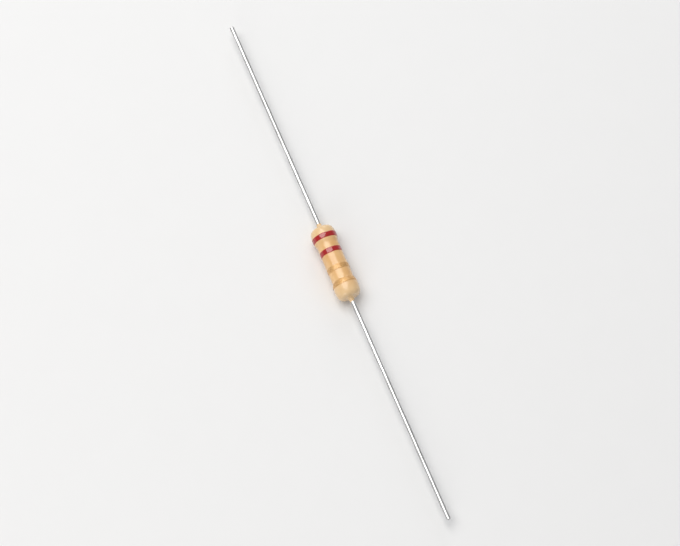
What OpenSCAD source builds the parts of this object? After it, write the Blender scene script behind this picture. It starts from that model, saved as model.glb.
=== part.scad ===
// Axial carbon-film resistor: a lacquered dog-bone body with colour bands on straight tinned leads.
// The leads run along X, the origin is the centre of the body, and the red bands are near its -X end.
// Each profile is drawn with its radius along x and its place along the part as y, and is then revolved.

/* [Ceramic core] */
// Length of the ceramic rod
core_length = 7.8; // [6:0.1:10]
// Diameter of the ceramic rod
core_d = 2.04; // [1.7:0.02:2.6]
// Chamfer round each end of the rod
core_chamfer = 0.12; // [0.06:0.01:0.2]

/* [Carbon film] */
// Thickness of the carbon film on the rod
film_t = 0.03; // [0.02:0.005:0.05]
// Turns of the spiral cut through the film
trim_turns = 3.5; // [2:0.5:5]
// Width of the spiral cut
trim_width = 0.25; // [0.15:0.01:0.35]
// Depth of the spiral cut in the ceramic
trim_depth = 0.05; // [0.02:0.01:0.1]
// Film left whole between the spiral and each cap
trim_land = 0.5; // [0.2:0.05:0.9]

/* [End caps] */
// Length of each pressed cap, outside
cap_length = 1.7; // [1.3:0.05:2.1]
// Thickness of the cap's side wall
cap_wall = 0.18; // [0.1:0.01:0.24]
// Thickness of the cap's closed end
cap_bottom = 0.2; // [0.12:0.01:0.3]
// Outer corner radius of the cap's closed end
cap_corner = 0.2; // [0.08:0.01:0.35]
// Inner corner radius of the cap's closed end
cap_inner_corner = 0.08; // [0.03:0.01:0.11]
// Bevel inside the cap's mouth
cap_lead_in = 0.05; // [0.02:0.01:0.09]

/* [Leads] */
// Diameter of the tinned wire
lead_d = 0.55; // [0.4:0.01:0.7]
// Length of each lead beyond the body
lead_reach = 27; // [10:0.5:40]
// How far the wire's welded foot spreads past the wire
weld_spread = 0.18; // [0.08:0.01:0.3]
// Bevel round the cut end of the wire
lead_break = 0.06; // [0.02:0.01:0.12]

/* [Lacquer coat] */
// Thickness of the lacquer over the film
coat_barrel_t = 0.2; // [0.14:0.01:0.28]
// Thickness of the lacquer over the middle of each cap
coat_cap_t = 0.195; // [0.14:0.005:0.3]
// Thickness of the lacquer over each cap's closed end
coat_end_t = 0.3; // [0.2:0.01:0.45]
// Radius that rounds each end of the body
corner_r = 0.6; // [0.5:0.05:0.9]
// Radius of the bulge's crest, along the body
crest_r = 2.8; // [2:0.1:6]
// Radius of the hollow that blends each bulge into the barrel
shoulder_r = 1.2; // [0.6:0.1:2]
// Radius of the lacquer's climb up each lead
climb_r = 0.3; // [0.12:0.01:0.32]
// Thickness of the lacquer's edge on the lead
climb_edge = 0.03; // [0.02:0.005:0.05]

/* [Colour bands] */
// Thickness of the painted bands
band_t = 0.03; // [0.02:0.005:0.05]
// Width of the red bands
red_band_w = 0.6; // [0.4:0.05:0.7]
// Width of the gold bands
gold_band_w = 0.6; // [0.4:0.05:0.7]
// Red end of the body to the middle of the first band
first_band_at = 1.34; // [1:0.02:1.6]
// Middle of the first band to the middle of the second
second_band_step = 1.8; // [1.5:0.05:2]
// Gold end of the body to the middle of the fourth band
fourth_band_at = 1.8; // [1.5:0.05:2.1]
// How far the third band lies on the way from the second to the fourth, as a share of 1
third_band_share = 0.545; // [0.5:0.005:0.58]

/* [Hidden] */
$fn = 96;
// Straight steps in each drawn arc, and in each turn of the spiral cut
arc_steps = 12;
turn_steps = 24;

// Radii, from the rod outwards
core_r = core_d / 2;
film_r = core_r + film_t;
cap_r = film_r + cap_wall;
barrel_r = film_r + coat_barrel_t;
crest_top = cap_r + coat_cap_t;
lead_r = lead_d / 2;

// Places along the part, from its middle outwards
core_end = core_length / 2;
cap_end = core_end + cap_bottom;
cap_mouth = cap_end - cap_length;
body_end = cap_end + coat_end_t;
lead_end = body_end + lead_reach;

// Centres of the body's arcs, as [radius, place]: each arc meets the next one without a corner
crest_c = [crest_top - crest_r, cap_end - cap_length / 2];
shoulder_reach = barrel_r + shoulder_r - crest_c[0];
shoulder_c = [barrel_r + shoulder_r, crest_c[1] - sqrt((crest_r + shoulder_r) ^ 2 - shoulder_reach ^ 2)];
corner_rise = body_end - corner_r - crest_c[1];
corner_c = [crest_c[0] + sqrt((crest_r - corner_r) ^ 2 - corner_rise ^ 2), body_end - corner_r];
climb = min(climb_r, corner_c[0] - lead_r - climb_edge);
climb_c = [lead_r + climb_edge + climb, body_end + climb];
crest_start = atan2(shoulder_c[1] - crest_c[1], shoulder_c[0] - crest_c[0]);
crest_stop = atan2(corner_c[1] - crest_c[1], corner_c[0] - crest_c[0]);

// The welded foot widens along an arc that leaves the wire without a corner
foot_length = body_end + climb - cap_end;
foot_r = (weld_spread ^ 2 + foot_length ^ 2) / (2 * weld_spread);
foot_turn = asin(foot_length / foot_r);

// The spiral cut
trim_length = 2 * (cap_mouth - trim_land) - trim_width;
trim_pitch = trim_length / trim_turns;
trim_rings = round(trim_turns * turn_steps);
trim_in = core_r - trim_depth;
trim_out = film_r + coat_barrel_t / 2;

// Middles of the bands along the part
first_band = first_band_at - body_end;
second_band = first_band + second_band_step;
fourth_band = body_end - fourth_band_at;
third_band = second_band + third_band_share * (fourth_band - second_band);

// Points of an arc after its first one
function arc(centre, radius, from, to) = [
    for (i = [1:arc_steps])
        let (a = from + (to - from) * i / arc_steps)
        centre + radius * [cos(a), sin(a)]
];

// The same points at the other end of the part, in reverse order
function flipped(points) = [
    for (i = [len(points) - 1:-1:0])
        [points[i][0], -points[i][1]]
];

// Outside of half the body, from its barrel to the lacquer's edge on the lead, moved outwards by grow
function half_outline(grow) = concat(
    [[barrel_r + grow, shoulder_c[1]]],
    arc(shoulder_c, shoulder_r - grow, 180, 180 + crest_start),
    arc(crest_c, crest_r + grow, crest_start, crest_stop),
    arc(corner_c, corner_r + grow, crest_stop, 90),
    [[climb_c[0], body_end + grow]],
    arc(climb_c, climb - grow, 270, 180)
);

// Corners of the spiral cut's square section at one ring
function trim_ring(i) =
    let (a = 360 * i / turn_steps, y = trim_pitch * i / turn_steps - trim_length / 2)
    [
        for (corner = [[trim_in, -1], [trim_out, -1], [trim_out, 1], [trim_in, 1]])
            [corner[0] * cos(a), corner[0] * sin(a), y + corner[1] * trim_width / 2]
    ];

module along_x() {
    rotate([0, 90, 0]) children();
}

module revolved() {
    along_x() rotate_extrude() children();
}

module outline(grow) {
    half = half_outline(grow);
    tip = body_end + climb;
    polygon(concat([[0, -tip]], flipped(half), half, [[0, tip]]));
}

module core_profile() {
    polygon([
        [0, -core_end], [core_r - core_chamfer, -core_end], [core_r, core_chamfer - core_end],
        [core_r, core_end - core_chamfer], [core_r - core_chamfer, core_end], [0, core_end]
    ]);
}

module film_profile() {
    length = core_length - 2 * core_chamfer;
    translate([core_r, -length / 2]) square([film_t, length]);
}

module cap_profile() {
    inner = min(cap_inner_corner, core_chamfer);
    polygon(concat(
        [[film_r + cap_lead_in, cap_mouth], [cap_r, cap_mouth], [cap_r, cap_end - cap_corner]],
        arc([cap_r - cap_corner, cap_end - cap_corner], cap_corner, 0, 90),
        [[0, cap_end], [0, core_end], [film_r - inner, core_end]],
        arc([film_r - inner, core_end - inner], inner, 90, 0),
        [[film_r, cap_mouth + cap_lead_in]]
    ));
}

module lead_profile() {
    tip = body_end + climb;
    polygon(concat(
        [[0, cap_end], [lead_r + weld_spread, cap_end]],
        arc([lead_r + foot_r, tip], foot_r, 180 + foot_turn, 180),
        [[lead_r, lead_end - lead_break], [lead_r - lead_break, lead_end], [0, lead_end]]
    ));
}

// All that the lacquer covers, filled to the axis
module covered_profile() {
    translate([0, -core_end]) square([film_r, core_length]);
    for (side = [0, 1])
        mirror([0, side]) {
            cap_profile();
            lead_profile();
        }
}

// The spiral cut is a square bar wound round the rod, with its corners joined ring by ring
module trim_cut() {
    last = 4 * trim_rings;
    points = [for (i = [0:trim_rings]) each trim_ring(i)];
    sides = [
        for (i = [0:trim_rings - 1], k = [0:3])
            let (a = 4 * i + k, b = 4 * i + (k + 1) % 4)
            each [[a, b, b + 4], [a, b + 4, a + 4]]
    ];
    ends = [[2, 1, 0], [3, 2, 0], [last, last + 1, last + 2], [last, last + 2, last + 3]];
    polyhedron(points, concat(sides, ends));
}

module band(middle, width) {
    revolved() intersection() {
        difference() {
            outline(band_t);
            outline(0);
        }
        translate([0, middle - width / 2]) square([crest_top + 2 * band_t, width]);
    }
}

module ceramic_core() {
    color("ghostwhite") along_x() difference() {
        rotate_extrude() core_profile();
        trim_cut();
    }
}

module carbon_film() {
    color("dimgray") along_x() difference() {
        rotate_extrude() film_profile();
        trim_cut();
    }
}

module cap_red_end() {
    color("silver") revolved() mirror([0, 1]) cap_profile();
}

module cap_gold_end() {
    color("silver") revolved() cap_profile();
}

module lead_red_end() {
    color("gainsboro") revolved() mirror([0, 1]) lead_profile();
}

module lead_gold_end() {
    color("gainsboro") revolved() lead_profile();
}

module lacquer_coat() {
    color("burlywood") along_x() difference() {
        rotate_extrude() outline(0);
        difference() {
            rotate_extrude() covered_profile();
            trim_cut();
        }
    }
}

module first_red_band() {
    color("firebrick") band(first_band, red_band_w);
}

module second_red_band() {
    color("firebrick") band(second_band, red_band_w);
}

module third_gold_band() {
    color("darkgoldenrod") band(third_band, gold_band_w);
}

module fourth_gold_band() {
    color("darkgoldenrod") band(fourth_band, gold_band_w);
}

ceramic_core();
carbon_film();
cap_red_end();
cap_gold_end();
lead_red_end();
lead_gold_end();
lacquer_coat();
first_red_band();
second_red_band();
third_gold_band();
fourth_gold_band();
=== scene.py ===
import math

import bmesh
import bpy
import numpy as np
from mathutils import Matrix, Quaternion, Vector, noise


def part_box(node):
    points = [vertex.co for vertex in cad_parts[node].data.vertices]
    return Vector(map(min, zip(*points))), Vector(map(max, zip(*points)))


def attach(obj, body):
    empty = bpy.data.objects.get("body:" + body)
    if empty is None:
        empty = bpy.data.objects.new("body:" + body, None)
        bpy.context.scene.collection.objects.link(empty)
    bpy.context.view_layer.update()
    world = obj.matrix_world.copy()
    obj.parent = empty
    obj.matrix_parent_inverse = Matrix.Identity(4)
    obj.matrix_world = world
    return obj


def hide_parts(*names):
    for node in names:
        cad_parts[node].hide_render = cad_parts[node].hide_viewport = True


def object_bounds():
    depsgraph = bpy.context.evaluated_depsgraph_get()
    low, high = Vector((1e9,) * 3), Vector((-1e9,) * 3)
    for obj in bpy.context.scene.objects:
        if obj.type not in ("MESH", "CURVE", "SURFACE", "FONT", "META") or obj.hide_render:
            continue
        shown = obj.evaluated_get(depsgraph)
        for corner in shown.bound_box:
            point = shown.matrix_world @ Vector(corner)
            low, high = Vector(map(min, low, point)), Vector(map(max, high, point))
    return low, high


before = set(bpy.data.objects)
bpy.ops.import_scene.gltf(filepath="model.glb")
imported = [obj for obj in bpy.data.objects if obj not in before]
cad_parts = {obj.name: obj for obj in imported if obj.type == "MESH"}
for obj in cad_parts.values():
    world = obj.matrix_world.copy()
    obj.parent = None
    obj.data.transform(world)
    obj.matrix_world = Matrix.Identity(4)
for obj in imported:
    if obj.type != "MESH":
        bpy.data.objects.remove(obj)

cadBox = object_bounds()
mm = 0.001
print("frame loaded:", len(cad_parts), "nodes")

# Camera and studio, in metres

view = {
    "azimuth": 60,                   # degrees, as the photograph looks at the part
    "elevation": 69,
    "roll": 7.9,
    "distance": 0.224,
    "lens": 107, "sensor": 36,       # in mm
    "aimAlong": 0.0013,              # the near lead takes more room, so the view aims a little along it
    "clip": (0.005, 10),
}
warmWhite = (1, 0.985, 0.96)
coolWhite = (0.95, 0.98, 1)
studio = {
    "lamps": {
        "key": {"place": (-0.17, -0.11, 0.44), "size": (0.46, 0.36), "power": 1.95, "colour": warmWhite},
        "side": {"place": (-0.36, 0.18, 0.16), "size": (0.16, 0.22), "power": 0.3, "colour": coolWhite},
        "low": {"place": (0.30, -0.26, 0.16), "size": (0.20, 0.20), "power": 0.35, "colour": warmWhite},
    },
    "sky": (0.95, 0.96, 1.0),
    "skyStrength": 0.38,
}


def placeCamera():
    turn, lift = math.radians(view["azimuth"]), math.radians(view["elevation"])
    back = Vector((math.sin(turn) * math.cos(lift), -math.cos(turn) * math.cos(lift), math.sin(lift)))
    data = bpy.data.cameras.new("camera")
    data.sensor_width = view["sensor"]
    data.lens = view["lens"]
    data.clip_start, data.clip_end = view["clip"]
    camera = bpy.data.objects.new("camera", data)
    bpy.context.scene.collection.objects.link(camera)
    camera.location = Vector((view["aimAlong"], 0, 0)) + back * view["distance"]
    level = (-back).to_track_quat("-Z", "Y")
    camera.rotation_mode = "QUATERNION"
    camera.rotation_quaternion = level @ Quaternion((0, 0, 1), math.radians(view["roll"]))
    bpy.context.scene.camera = camera


# A soft box that faces the part
def softLight(name, lamp):
    data = bpy.data.lights.new(name, "AREA")
    data.shape = "RECTANGLE"
    data.size, data.size_y = lamp["size"]
    data.energy = lamp["power"]
    data.color = lamp["colour"]
    obj = bpy.data.objects.new(name, data)
    bpy.context.scene.collection.objects.link(obj)
    obj.location = lamp["place"]
    obj.rotation_mode = "QUATERNION"
    obj.rotation_quaternion = (-Vector(lamp["place"])).to_track_quat("-Z", "Y")


# An even pale sky, and plain tones
def makeSky():
    world = bpy.data.worlds.new("studio")
    bpy.context.scene.world = world
    world.use_nodes = True
    background = world.node_tree.nodes["Background"]
    background.inputs["Color"].default_value = (*studio["sky"], 1)
    background.inputs["Strength"].default_value = studio["skyStrength"]
    bpy.context.scene.view_settings.view_transform = "Standard"
    bpy.context.scene.view_settings.look = "None"


placeCamera()
for name, lamp in studio["lamps"].items():
    softLight(name, lamp)
makeSky()
print("camera and lights placed")


# Short calls for shader nodes
class Shader:
    def __init__(self, tree):
        self.tree = tree

    def feed(self, socket, value):
        if isinstance(value, bpy.types.NodeSocket):
            self.tree.links.new(value, socket)
        else:
            socket.default_value = value

    def node(self, kind, inputs, **settings):
        made = self.tree.nodes.new(kind)
        for key, value in settings.items():
            setattr(made, key, value)
        for key, value in inputs.items():
            self.feed(made.inputs[key], value)
        return made

    def math(self, operation, a, b=0.0):
        return self.node("ShaderNodeMath", {0: a, 1: b}, operation=operation).outputs[0]

    def spread(self, value, span, to=(0.0, 1.0)):
        ends = {"From Min": span[0], "From Max": span[1], "To Min": to[0], "To Max": to[1]}
        return self.node("ShaderNodeMapRange", {"Value": value, **ends}, clamp=True).outputs["Result"]

    def mix(self, share, a, b):
        return self.node("ShaderNodeMix", {0: share, 6: a, 7: b}, data_type="RGBA").outputs[2]

    def stretch(self, place, scale):
        return self.node("ShaderNodeMapping", {"Vector": place, "Scale": scale}).outputs[0]

    def cloud(self, place, scale, detail=2.0):
        return self.node("ShaderNodeTexNoise", {"Vector": place, "Scale": scale, "Detail": detail}).outputs[0]

    def pattern(self, place, kind):
        return self.cloud(self.stretch(place, kind["stretch"]), kind["cells"], kind["detail"])


# Shared patterns: noise cells to a millimetre, along axes that are first scaled, so 0.02 draws out streaks
patterns = {
    "slow": {"stretch": (0.45, 0.9, 0.9), "cells": 1.0, "detail": 1.0},
    "ripple": {"stretch": (0.6, 1, 1), "cells": 3.2, "detail": 1.0},
    "streaks": {"stretch": (0.02, 1, 1), "cells": 14.0, "detail": 2.0},
    "most": (0.3, 0.7),              # most values of a pattern lie between these
}


def newGroup(name, takes, gives):
    tree = bpy.data.node_groups.new(name, "ShaderNodeTree")
    tree.interface.new_socket("Place", in_out="INPUT", socket_type="NodeSocketVector")
    for label in takes:
        tree.interface.new_socket(label, in_out="INPUT", socket_type="NodeSocketFloat")
    for label in gives:
        tree.interface.new_socket(label, in_out="OUTPUT", socket_type="NodeSocketFloat")
    shader = Shader(tree)
    return shader, shader.node("NodeGroupInput", {}).outputs, shader.node("NodeGroupOutput", {}).inputs


# Slow waves along the body and a finer ripple, as a dipped and baked lacquer has
def lacquerFlow():
    shader, takes, gives = newGroup("lacquerFlow", ["Ripple"], ["Height", "Shade"])
    slow = shader.pattern(takes["Place"], patterns["slow"])
    ripple = shader.pattern(takes["Place"], patterns["ripple"])
    shader.feed(gives["Height"], shader.math("ADD", slow, shader.math("MULTIPLY", ripple, takes["Ripple"])))
    shader.feed(gives["Shade"], slow)
    return shader.tree


# Fine specks, and streaks along X
def fineGrain():
    shader, takes, gives = newGroup("fineGrain", ["Speck"], ["Specks", "Streaks"])
    shader.feed(gives["Specks"], shader.cloud(takes["Place"], takes["Speck"]))
    shader.feed(gives["Streaks"], shader.pattern(takes["Place"], patterns["streaks"]))
    return shader.tree


groups = {"flow": lacquerFlow(), "grain": fineGrain()}


# A material on Object coordinates in millimetres, with its even values set on the surface's own sockets
class Look(Shader):
    def __init__(self, name, surface):
        self.material = bpy.data.materials.new(name)
        self.material.use_nodes = True
        super().__init__(self.material.node_tree)
        self.surface = self.tree.nodes["Principled BSDF"].inputs
        for label, value in surface.items():
            self.surface[label].default_value = value
        where = self.node("ShaderNodeTexCoord", {}).outputs["Object"]
        self.place = self.stretch(where, (1 / mm, 1 / mm, 1 / mm))

    def use(self, key, **inputs):
        made = self.node("ShaderNodeGroup", {}, node_tree=groups[key])
        for label, value in {"Place": self.place, **inputs}.items():
            self.feed(made.inputs[label], value)
        return made.outputs

    def set(self, label, value):
        self.feed(self.surface[label], value)

    def raiseBy(self, height, depth):
        bump = self.node("ShaderNodeBump", {"Strength": 1.0, "Distance": depth * mm, "Height": height})
        self.set("Normal", bump.outputs[0])


# A colour as a screen shows it, from 0 to 255, in linear values
def rgb(*levels):
    return tuple(((c / 255 + 0.055) / 1.055) ** 2.4 for c in levels) + (1,)


# Lacquered body: one closed shell, spun about X from its profile of (place along X, radius), in mm

core = {"end": 3.9, "filmRadius": 1.05}
cap = {"length": 1.7, "bottom": 0.2, "radius": 1.23, "corner": 0.2, "cornerSteps": 4}
coat = {
    "onFilm": 0.2, "onCap": 0.195, "onEnd": 0.3,
    "cornerRadius": 0.6, "crestRadius": 2.8, "shoulderRadius": 1.2,
    "climb": 0.3, "edge": 0.03,      # the lacquer's climb up the wire, and its thickness there
    "runOut": 0.22,                  # length over which it then thins out along the wire
    "runOutAt": (0.35, 0.7, 1),      # places on that length, as shares of it
    "runOutGone": 1.05,              # the share at which nothing would be left
    "tongue": 0.2,                   # how unevenly it ends there
    "tongueApart": 3,                # keeps the two ends from having the same tongues
    "sideGap": 0.01,                 # the side ends this far short of the body's ends
    "skin": 0.02,                    # what lies less than this under the side strays with it
    "arcSteps": 16, "barrelSteps": 26, "sides": 128,
    "body": rgb(224, 178, 119), "bodyShare": 0.6,        # the rest is mottled, from deep to pale
    "deep": rgb(211, 159, 97), "pale": rgb(236, 196, 141), "mottle": (0.36, 0.64),
    "overCap": rgb(226, 194, 148), "overCapShare": 0.85,
    "overCapAt": (2.0, 4.1),         # from the middle, where this tone begins and where it is full
}
stray = {
    "depth": 0.02,                   # how far the dipped surface strays from a true turned one
    "waves": [                       # a slow one and a quicker one, each from its own part of the noise
        {"along": 0.42, "round": 0.9, "shift": (0, 7, 0), "share": 1.3},
        {"along": 0.9, "round": 1.5, "shift": (20, 0, 3), "share": 0.4},
    ],
}
gloss = {
    "surface": {"IOR": 1.4, "Coat Weight": 0.8, "Coat Roughness": 0.13},
    "speck": 7.0, "roughness": (0.3, 0.42),
    "waves": 0.045, "ripple": 0.12,  # depth of the waves, and how much ripple lies on them
}
wire = {
    "radius": 0.275, "reach": 27, "footSpread": 0.18, "footSteps": 8, "bevel": 0.06, "sides": 40, "steps": 60,
    "waver": 0.02,                   # how far the straightened wire still strays from a line
    "waverGrows": 4,                 # length over which the waver grows from nothing
    "waverScale": 0.22,              # how often it bends
    "waverSideways": 5, "waverUpwards": 9,               # places in the noise, one for each direction
    "surface": {"Metallic": 1.0}, "bright": rgb(224, 224, 223), "dull": rgb(196, 196, 194),
    "worn": (0.35, 0.68), "wornSpeck": 2.2, "wornStretch": (0.25, 1, 1),
    "roughness": (0.2, 0.29),
    "drawn": 0.08, "streaks": 0.003,                     # the drawing streaks' roughness and depth
}
spun = {"merge": 0.0001, "sharpFrom": 38}                # in mm, and in degrees

capEnd = core["end"] + cap["bottom"]
bodyEnd = capEnd + coat["onEnd"]
coatTip = bodyEnd + coat["climb"]
wireEnd = bodyEnd + wire["reach"]


# Points of an arc after its first one, with angles from +X towards the radius
def arc(centre, radius, start, stop, steps):
    angles = [math.radians(start + (stop - start) * i / steps) for i in range(1, steps + 1)]
    return [(centre[0] + radius * math.cos(a), centre[1] + radius * math.sin(a)) for a in angles]


# The outside from the barrel to the edge on the wire, as arcs that run into each other
def halfOutline():
    steps = coat["arcSteps"]
    crest, shoulder, corner = coat["crestRadius"], coat["shoulderRadius"], coat["cornerRadius"]
    barrel = core["filmRadius"] + coat["onFilm"]
    crestAt = (capEnd - cap["length"] / 2, cap["radius"] + coat["onCap"] - crest)
    rise = barrel + shoulder - crestAt[1]
    shoulderAt = (crestAt[0] - math.sqrt((crest + shoulder) ** 2 - rise ** 2), barrel + shoulder)
    run = bodyEnd - corner - crestAt[0]
    cornerAt = (bodyEnd - corner, crestAt[1] + math.sqrt((crest - corner) ** 2 - run ** 2))
    climbAt = (coatTip, wire["radius"] + coat["edge"] + coat["climb"])
    blend = math.degrees(math.atan2(shoulderAt[1] - crestAt[1], shoulderAt[0] - crestAt[0]))
    turn = math.degrees(math.atan2(cornerAt[1] - crestAt[1], cornerAt[0] - crestAt[0]))
    points = [(shoulderAt[0], barrel)]
    points += arc(shoulderAt, shoulder, -90, blend - 180, steps)
    points += arc(crestAt, crest, blend, turn, steps)
    points += arc(cornerAt, corner, turn, 0, steps)
    points += [(bodyEnd, climbAt[1])]
    points += arc(climbAt, coat["climb"], 180, 270, steps // 2)
    for share in coat["runOutAt"]:
        left = coat["edge"] * (coat["runOutGone"] - share) ** 2
        points += [(coatTip + share * coat["runOut"], wire["radius"] + left)]
    return points


# The whole outside, with points along the barrel between its two ends
def bothEnds(half):
    start, radius = half[0]
    steps = coat["barrelSteps"]
    barrel = [(start * (2 * i / steps - 1), radius) for i in range(1, steps)]
    return [(-x, r) for x, r in reversed(half)] + barrel + half


outline = bothEnds(halfOutline())
sideEnd = bodyEnd - coat["sideGap"]
sideX, sideRadius = zip(*[p for p in outline if abs(p[0]) < sideEnd])     # without flat ends and climb


# Radius of the coat's side at a place along X
def surfaceRadius(x):
    return float(np.interp(x, sideX, sideRadius))


# Radial stray of the dipped surface at one point
def strayAt(x, angle):
    total = 0
    for wave in stray["waves"]:
        place = (x * wave["along"], math.cos(angle) * wave["round"], math.sin(angle) * wave["round"])
        total += wave["share"] * noise.noise(Vector([p + s for p, s in zip(place, wave["shift"])]))
    return stray["depth"] * total


# Spins a profile about X into a closed mesh: a ring closes on itself, any other profile ends on the axis.
# Then move(x, radius, angle) gives each point its final place, still in mm.
def turned(name, profile, count, ring, move):
    bm = bmesh.new()
    verts = [bm.verts.new((x, 0, r)) for x, r in profile]
    ends = zip(verts, verts[1:] + verts[:1]) if ring else zip(verts, verts[1:])
    edges = [bm.edges.new(pair) for pair in ends]
    bmesh.ops.spin(
        bm, geom=verts + edges, cent=(0, 0, 0), axis=(1, 0, 0), dvec=(0, 0, 0),
        angle=2 * math.pi, steps=count, use_merge=True, use_normal_flip=False, use_duplicate=False,
    )
    bmesh.ops.remove_doubles(bm, verts=bm.verts, dist=spun["merge"])
    for v in bm.verts:
        v.co = move(v.co.x, math.hypot(v.co.y, v.co.z), math.atan2(v.co.y, v.co.z))
    bmesh.ops.recalc_face_normals(bm, faces=bm.faces)
    bmesh.ops.transform(bm, matrix=Matrix.Scale(mm, 4), verts=bm.verts)
    mesh = bpy.data.meshes.new(name)
    bm.to_mesh(mesh)
    bm.free()
    mesh.polygons.foreach_set("use_smooth", [True] * len(mesh.polygons))
    mesh.set_sharp_from_angle(angle=math.radians(spun["sharpFrom"]))
    obj = bpy.data.objects.new(name, mesh)
    bpy.context.scene.collection.objects.link(obj)
    return obj


# A point from its place along X, its radius and its angle from +Z
def around(x, radius, angle):
    return Vector((x, radius * math.sin(angle), radius * math.cos(angle)))


def finishPiece(obj, look, node):
    obj.data.materials.append(look.material)
    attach(obj, "root")
    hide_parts(node)


# The welded foot's curve, from the wire to the cap
def wireFoot():
    length = coatTip - capEnd
    spread = wire["footSpread"]
    radius = (spread ** 2 + length ** 2) / (2 * spread)
    centre = (coatTip, wire["radius"] + radius)
    sweep = math.degrees(math.asin(length / radius))
    return [(coatTip, wire["radius"])] + arc(centre, radius, -90, -90 - sweep, wire["footSteps"])


# Mottled tan, paler over the caps and towards the ends
def lacquerLook():
    look = Look("tanLacquer", gloss["surface"])
    flow = look.use("flow", Ripple=gloss["ripple"])
    mottled = look.mix(look.spread(flow["Shade"], coat["mottle"]), coat["deep"], coat["pale"])
    along = look.node("ShaderNodeSeparateXYZ", {"Vector": look.place}).outputs["X"]
    overCap = look.spread(look.math("ABSOLUTE", along), coat["overCapAt"], (0.0, coat["overCapShare"]))
    tan = look.mix(coat["bodyShare"], mottled, coat["body"])
    specks = look.use("grain", Speck=gloss["speck"])["Specks"]
    look.set("Base Color", look.mix(overCap, tan, coat["overCap"]))
    look.set("Roughness", look.spread(specks, patterns["most"], gloss["roughness"]))
    look.raiseBy(flow["Height"], gloss["waves"])
    return look


# The coat's inside follows the wires' welded feet, the caps and the film
def makeCoat():
    capCorner = (capEnd - cap["corner"], cap["radius"] - cap["corner"])
    inside = [(coatTip + coat["runOut"], wire["radius"])] + wireFoot()
    inside += [(capEnd, capCorner[1])]
    inside += arc(capCorner, cap["corner"], 0, 90, cap["cornerSteps"])
    inside += [(capEnd - cap["length"], cap["radius"]), (capEnd - cap["length"], core["filmRadius"])]
    ring = outline + inside + [(-x, r) for x, r in reversed(inside)]

    def move(x, r, angle):
        outside = r > surfaceRadius(x) - coat["skin"] and abs(x) < sideEnd
        climbed = max(0, abs(x) - bodyEnd) / (coat["climb"] + coat["runOut"])
        rim = Vector((math.cos(angle), math.sin(angle), math.copysign(coat["tongueApart"], x)))
        tongue = noise.noise(rim) * climbed ** 2
        return around(x + coat["tongue"] * tongue, r + (strayAt(x, angle) if outside else 0), angle)

    piece = turned("lacquerCoat", ring, coat["sides"], True, move)
    finishPiece(piece, lacquerLook(), "lacquer_coat")


makeCoat()
print("coat made")


# Leads: straightened tinned wire from the welded foot to the cut end

def wireLook():
    look = Look("tinnedWire", wire["surface"])
    grain = look.use("grain", Place=look.stretch(look.place, wire["wornStretch"]), Speck=wire["wornSpeck"])
    worn = look.spread(grain["Specks"], wire["worn"])
    drawn = look.spread(grain["Streaks"], patterns["most"], (0.0, wire["drawn"]))
    look.set("Base Color", look.mix(worn, wire["bright"], wire["dull"]))
    look.set("Roughness", look.math("ADD", look.spread(worn, (0.0, 1.0), wire["roughness"]), drawn))
    look.raiseBy(grain["Streaks"], wire["streaks"])
    return look


# A lead on one side of the body: -1 for the red end, 1 for the gold end
def makeWire(name, side, look, node):
    bevel, radius, steps = wire["bevel"], wire["radius"], wire["steps"]
    length = wireEnd - bevel - coatTip
    shank = [(coatTip + length * i / steps, radius) for i in range(1, steps + 1)]
    profile = [(capEnd, 0)] + wireFoot()[::-1] + shank + [(wireEnd, radius - bevel), (wireEnd, 0)]

    def move(x, r, angle):
        free = min(1, max(0, abs(x) - coatTip) / wire["waverGrows"])
        along = x * wire["waverScale"]
        sideways = noise.noise(Vector((along, wire["waverSideways"], 0))) * wire["waver"] * free
        upwards = noise.noise(Vector((along, 0, wire["waverUpwards"]))) * wire["waver"] * free
        return around(x, r, angle) + Vector((0, sideways, upwards))

    piece = turned(name, [(side * x, r) for x, r in profile], wire["sides"], False, move)
    finishPiece(piece, look, node)


tinned = wireLook()
makeWire("wireRedEnd", -1, tinned, "lead_red_end")
makeWire("wireGoldEnd", 1, tinned, "lead_gold_end")
print("leads made")


# Painted bands: rings on the coat, with thinned and slightly wavy edges

bands = {
    "thickness": 0.03,
    "edgeShare": 0.2,                # how much of it is left at an edge
    "feather": 0.06,                 # the paint thins out this close to its edge
    "sunk": 0.004,                   # the ring's underside lies just inside the coat
    "wave": 0.03,                    # how far an edge strays along the body
    "waveRound": 2.2,                # how often it does so on its way round
    "waveApart": 4,                  # keeps the two edges from straying alike
    "steps": 14,
    "redSurface": {"IOR": 1.25, "Coat Weight": 1.0, "Coat IOR": 1.65, "Coat Roughness": 0.1},
    "redDeep": rgb(148, 2, 2), "redBright": rgb(178, 5, 4), "redSpeck": 5.0,
    "goldSurface": {"Coat Weight": 0.6, "Coat Roughness": 0.14},
    "goldDeep": rgb(186, 125, 56), "goldBright": rgb(244, 206, 144), "goldSpeck": 34.0,
    "flakes": (0.4, 0.62), "flakeHeight": 0.1,
    "goldMetalAt": (0.3, 0.6), "goldMetal": (0.4, 0.8),
    "goldRoughAt": (0.35, 0.65), "goldRough": (0.45, 0.6),
}


# Red paint under a strong gloss
def redLook():
    look = Look("redPaint", bands["redSurface"])
    specks = look.spread(look.use("grain", Speck=bands["redSpeck"])["Specks"], patterns["most"])
    look.set("Base Color", look.mix(specks, bands["redDeep"], bands["redBright"]))
    look.set("Roughness", look.spread(specks, (0.0, 1.0), gloss["roughness"]))
    look.raiseBy(look.use("flow", Ripple=gloss["ripple"])["Height"], gloss["waves"])
    return look


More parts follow.
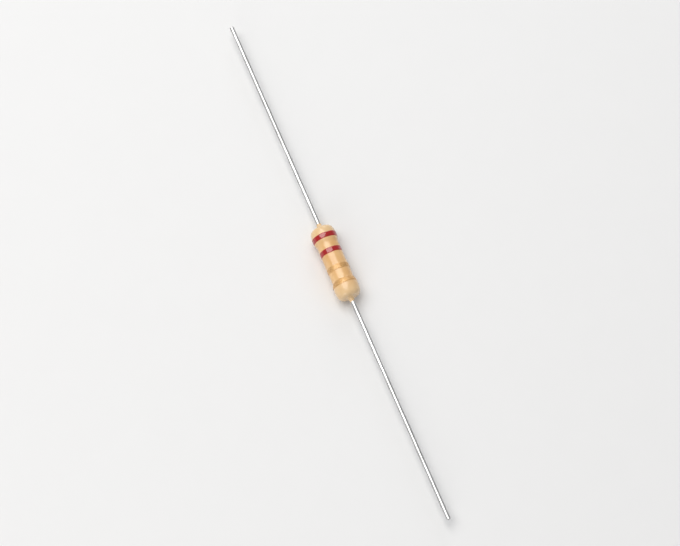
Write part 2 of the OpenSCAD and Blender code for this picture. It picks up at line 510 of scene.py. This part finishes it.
# Bronze flakes in a clear paint
def goldLook():
    look = Look("goldPaint", bands["goldSurface"])
    specks = look.use("grain", Speck=bands["goldSpeck"])["Specks"]
    flakes = look.spread(specks, bands["flakes"])
    look.set("Base Color", look.mix(flakes, bands["goldDeep"], bands["goldBright"]))
    look.set("Metallic", look.spread(specks, bands["goldMetalAt"], bands["goldMetal"]))
    look.set("Roughness", look.spread(specks, bands["goldRoughAt"], bands["goldRough"]))
    flow = look.use("flow", Ripple=gloss["ripple"])["Height"]
    look.raiseBy(look.math("ADD", flow, look.math("MULTIPLY", flakes, bands["flakeHeight"])), gloss["waves"])
    return look


# A band takes its place and width from the node that it stands for
def makeBand(name, node, look, seed):
    start, stop = (corner.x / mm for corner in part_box(node))
    middle, half = (start + stop) / 2, (stop - start) / 2
    across = [start + 2 * half * i / bands["steps"] for i in range(bands["steps"] + 1)]

    def thickness(x):
        near = min(1, (half - abs(x - middle)) / bands["feather"])
        full = math.sqrt(max(0, near * (2 - near)))
        return bands["thickness"] * (bands["edgeShare"] + (1 - bands["edgeShare"]) * full)

    top = [(x, surfaceRadius(x) + thickness(x)) for x in across]
    under = [(x, surfaceRadius(x) - bands["sunk"]) for x in reversed(across)]

    def move(x, r, angle):
        share = (x - middle) / half
        y, z = math.cos(angle) * bands["waveRound"], math.sin(angle) * bands["waveRound"]
        edge = Vector((y + seed, z, math.copysign(bands["waveApart"], share)))
        shifted = x + bands["wave"] * noise.noise(edge) * share ** 2
        return around(shifted, r - surfaceRadius(x) + surfaceRadius(shifted) + strayAt(shifted, angle), angle)

    finishPiece(turned(name, top + under, coat["sides"], True, move), look, node)


red = redLook()
gold = goldLook()
makeBand("bandFirst", "first_red_band", red, 1)
makeBand("bandSecond", "second_red_band", red, 12)
makeBand("bandThird", "third_gold_band", gold, 23)
makeBand("bandFourth", "fourth_gold_band", gold, 34)
print("bands made")


# Inner pieces keep the frame's own shapes

inner = {
    "tinnedSteel": {
        "nodes": ["cap_red_end", "cap_gold_end"], "surface": {"Metallic": 1.0}, "speck": 8.0, "depth": 0.006,
        "dark": rgb(180, 180, 176), "light": rgb(214, 213, 208), "roughness": (0.28, 0.45),
    },
    "whiteCeramic": {
        "nodes": ["ceramic_core"], "surface": {"IOR": 1.6}, "speck": 14.0, "depth": 0.01,
        "dark": rgb(226, 222, 212), "light": rgb(242, 240, 234), "roughness": (0.55, 0.75),
    },
    "carbonFilm": {
        "nodes": ["carbon_film"], "surface": {"IOR": 1.9}, "speck": 10.0, "depth": 0.005,
        "dark": rgb(34, 34, 37), "light": rgb(62, 62, 66), "roughness": (0.3, 0.5),
    },
}


def grainedLook(name, finish):
    look = Look(name, finish["surface"])
    specks = look.use("grain", Speck=finish["speck"])["Specks"]
    look.set("Base Color", look.mix(specks, finish["dark"], finish["light"]))
    look.set("Roughness", look.spread(specks, patterns["most"], finish["roughness"]))
    look.raiseBy(specks, finish["depth"])
    return look


for name, finish in inner.items():
    look = grainedLook(name, finish)
    for node in finish["nodes"]:
        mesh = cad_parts[node].data
        mesh.materials.clear()
        mesh.materials.append(look.material)
print("inner pieces dressed")


# Floor, under the part's lowest point

ground = {
    "width": 1.6,                    # in metres
    "pale": (0.8, 0.8, 0.796),
    "faint": 0.985,                  # its faint clouds are this much of the pale tone
    "clouds": 0.35,
    "surface": {"Roughness": 0.7},
}


def floorLook():
    look = Look("paleFloor", ground["surface"])
    pale = (*ground["pale"], 1)
    faint = (*[c * ground["faint"] for c in ground["pale"]], 1)
    look.set("Base Color", look.mix(look.cloud(look.place, ground["clouds"]), pale, faint))
    return look


def layFloor():
    lowest = min(cadBox[0].z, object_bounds()[0].z)
    bm = bmesh.new()
    bmesh.ops.create_grid(bm, x_segments=1, y_segments=1, size=ground["width"] / 2)
    bmesh.ops.translate(bm, verts=bm.verts, vec=(0, 0, lowest))
    mesh = bpy.data.meshes.new("floor")
    bm.to_mesh(mesh)
    bm.free()
    mesh.materials.append(floorLook().material)
    floor = bpy.data.objects.new("floor", mesh)
    bpy.context.scene.collection.objects.link(floor)


layFloor()
print("floor laid")
